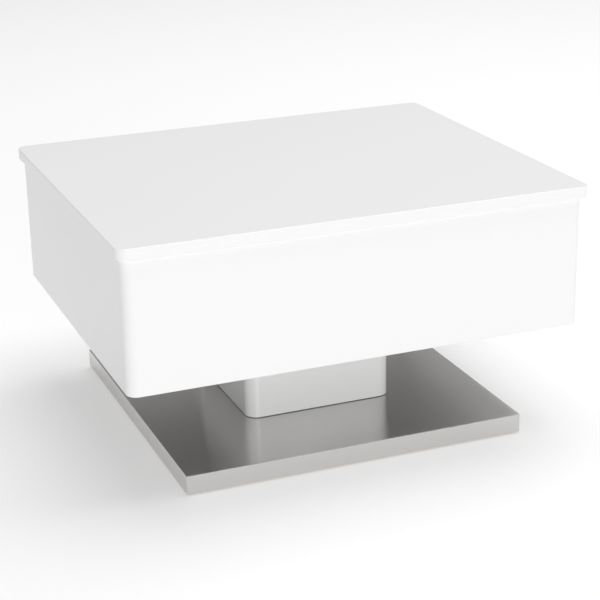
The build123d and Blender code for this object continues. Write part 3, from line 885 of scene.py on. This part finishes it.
def springTree():
    # a coil round the front pivot with one leg on the bracket and one on the arm
    tree, graph, given = nodeTree("springShape", springSizes)
    count = given["Turns"] * given["PerTurn"]
    index = graph.add("GeometryNodeInputIndex")
    line = graph.add("GeometryNodeMeshLine", {"mode": "OFFSET"}, {"Count": count + 3.0})
    # the first and last points are the ends of the legs, the rest climb the coil from its bottom
    step = graph.add("ShaderNodeClamp", {}, {"Value": index - 1.0, "Min": 0.0, "Max": count})
    share = step / count
    turn = share * given["Turns"] * (2 * pi)
    swing = graph.add("ShaderNodeMath", {"operation": "SINE"}, {0: turn}) * given["CoilRadius"]
    drop = graph.add("ShaderNodeMath", {"operation": "COSINE"}, {0: turn}) * given["CoilRadius"]
    first = graph.add("ShaderNodeMath", {"operation": "LESS_THAN"}, {0: index, 1: 0.5})
    last = graph.add("ShaderNodeMath", {"operation": "GREATER_THAN"}, {0: index, 1: count + 1.5})
    pivotY = given["PivotY"]
    legs = first * (given["FixedLeg"] - pivotY) + last * (given["MovingLeg"] - pivotY)
    along = pivotY + swing + legs
    across = given["End"] + share * (given["Start"] - given["End"])
    sockets = {"X": across, "Y": along, "Z": given["PivotZ"] - drop}
    spots = graph.add("ShaderNodeCombineXYZ", {}, sockets)
    line = graph.add("GeometryNodeSetPosition", {}, {"Geometry": line, "Position": spots})
    path = graph.add("GeometryNodeMeshToCurve", {}, {"Mesh": line})
    ring = circle(graph, given["Steps"], given["Wire"])
    sockets = {"Curve": path, "Profile Curve": ring, "Fill Caps": True}
    wire = graph.add("GeometryNodeCurveToMesh", {}, sockets)
    closeTree(graph, wire, given)
    return tree


def makeSprings():
    tree = springTree()
    spot = jointOf["lift"]["pos_m"][1:]
    wire = springSizes["Wire"]
    for node in ("torsion_spring_left", "torsion_spring_right"):
        low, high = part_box(node)
        inner, outer = low.x + wire, high.x - wire
        if high.x < 0:
            inner, outer = outer, inner
        sizes = dict(
            springSizes, CoilRadius=(high.z - low.z) / 2 - wire, Start=outer, End=inner,
            FixedLeg=low.y, MovingLeg=high.y, PivotY=spot[0], PivotZ=spot[1],
        )
        piece = settle(grown(node + "_wire", tree, sizes, finishOf[node]), node)
        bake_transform(piece)


makeSprings()
print("springs: 2")


# how far the edges of each sawn, stamped or turned part are broken
brokenEdges = {
    0.35 * mm: (
        "front_arm_left", "front_arm_right", "rear_arm_left", "rear_arm_right", "base_bracket_left",
        "base_bracket_right", "lid_bracket_left", "lid_bracket_right", "tube_plugs", "plinth_cover",
    ),
    0.25 * mm: (
        "cross_tube", "tube_screws", "lid_pivot_pins", "front_base_pins", "rear_base_pins",
        "stop_pins", "spring_pegs",
    ),
    0.12 * mm: ("base_thrust_washers", "lid_thrust_washers", "stop_sleeves", "pedestal_gasket"),
    0.8 * mm: ("corner_blocks", "pedestal_posts", "floor_dowels"),
    0.3 * mm: ("box_floor", "plinth_core", "pedestal_board_lower", "pedestal_board_upper"),
}
flatWithin = radians(0.5)
sharpFrom = radians(40)
farPoint = 60.0


def combed(piece):
    # the mesh's own tangents turn about a far point, so that they run straight along X
    piece.data.use_auto_texspace = False
    piece.data.texspace_location = (0.0, farPoint, 0.0)
    piece.data.texspace_size = (1.0, 1.0, 1.0)


def softened(node, width):
    # a merged copy of the CAD mesh with its sharp edges broken
    mesh = cadNodes[node].data.copy()
    mesh.name = node + "_made"
    work = bmesh.new()
    work.from_mesh(mesh)
    bmesh.ops.remove_doubles(work, verts=work.verts, dist=weldGap)
    bmesh.ops.dissolve_limit(work, angle_limit=flatWithin, verts=work.verts, edges=work.edges)
    joined = [edge for edge in work.edges if len(edge.link_faces) == 2]
    sharp = [edge for edge in joined if edge.calc_face_angle() > sharpFrom]
    bmesh.ops.bevel(
        work, geom=sharp, offset=width, segments=2, profile=0.5, affect="EDGES", clamp_overlap=False)
    bmesh.ops.remove_doubles(work, verts=work.verts, dist=fineWeldGap)
    bmesh.ops.recalc_face_normals(work, faces=work.faces)
    work.to_mesh(mesh)
    work.free()
    piece = shadeWell(newPiece(node + "_made", mesh))
    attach(settle(piece, node), bodyOf[node])
    return piece


for width, members in brokenEdges.items():
    for node in members:
        piece = softened(node, width)
        if slotOf[node] == "brushed_stainless":
            combed(piece)
print("parts with broken edges:", sum(len(members) for members in brokenEdges.values()))


camera = dict(
    place=(-0.9859, -2.5630, 1.1872), yaw=21.37, pitch=19.985, roll=-1.13, lens=98.84, sensor=36.0,
)


def makeCamera():
    data = bpy.data.cameras.new("camera")
    data.lens = camera["lens"]
    data.sensor_width = camera["sensor"]
    eye = bpy.data.objects.new("camera", data)
    turn = Matrix.Rotation(radians(-camera["yaw"]), 4, "Z")
    turn = turn @ Matrix.Rotation(radians(90 - camera["pitch"]), 4, "X")
    turn = turn @ Matrix.Rotation(radians(camera["roll"]), 4, "Z")
    eye.rotation_euler = turn.to_euler()
    eye.location = camera["place"]
    bpy.context.scene.collection.objects.link(eye)
    bpy.context.scene.camera = eye


floorSheet = dict(
    size=30.0, colour=(0.60, 0.60, 0.60), roughness=0.9, shine=0.1,
    glowColour=(1.0, 1.0, 1.0), glow=0.38,
)


def makeFloor():
    mesh = bpy.data.meshes.new("floor")
    half = floorSheet["size"] / 2
    corners = [(-half, -half, 0), (half, -half, 0), (half, half, 0), (-half, half, 0)]
    mesh.from_pydata(corners, [], [(0, 1, 2, 3)])
    floor = newPiece("floor", mesh)
    material, graph = finish("paleFloor")
    surface(graph, {
        "Base Color": (*floorSheet["colour"], 1.0),
        "Roughness": floorSheet["roughness"],
        "Specular IOR Level": floorSheet["shine"],
        "Emission Color": (*floorSheet["glowColour"], 1.0),
        "Emission Strength": floorSheet["glow"],
    })
    mesh.materials.append(material)


lights = [
    dict(name="frontBox", place=(-1.1, -7.0, 1.6), aim=(0.0, 0.0, 0.2), size=3.2, power=194.0),
    dict(name="topBox", place=(1.9, 0.6, 6.0), aim=(0.0, 0.2, 0.0), size=6.0, power=310.0),
]
worldLight = dict(colour=(1.0, 1.0, 1.0), strength=0.40)


def makeLights():
    for light in lights:
        data = bpy.data.lights.new(light["name"], "AREA")
        data.shape = "SQUARE"
        data.size = light["size"]
        data.energy = light["power"]
        lamp = bpy.data.objects.new(light["name"], data)
        lamp.location = light["place"]
        aim = Vector(light["aim"]) - Vector(light["place"])
        lamp.rotation_euler = aim.to_track_quat("-Z", "Y").to_euler()
        bpy.context.scene.collection.objects.link(lamp)
    world = bpy.data.worlds.new("studio")
    world.use_nodes = True
    background = world.node_tree.nodes["Background"]
    background.inputs["Color"].default_value = (*worldLight["colour"], 1.0)
    background.inputs["Strength"].default_value = worldLight["strength"]
    bpy.context.scene.world = world
    bpy.context.scene.view_settings.view_transform = "Standard"


makeCamera()
makeFloor()
makeLights()
print("stage: camera, floor and", len(lights), "lights")
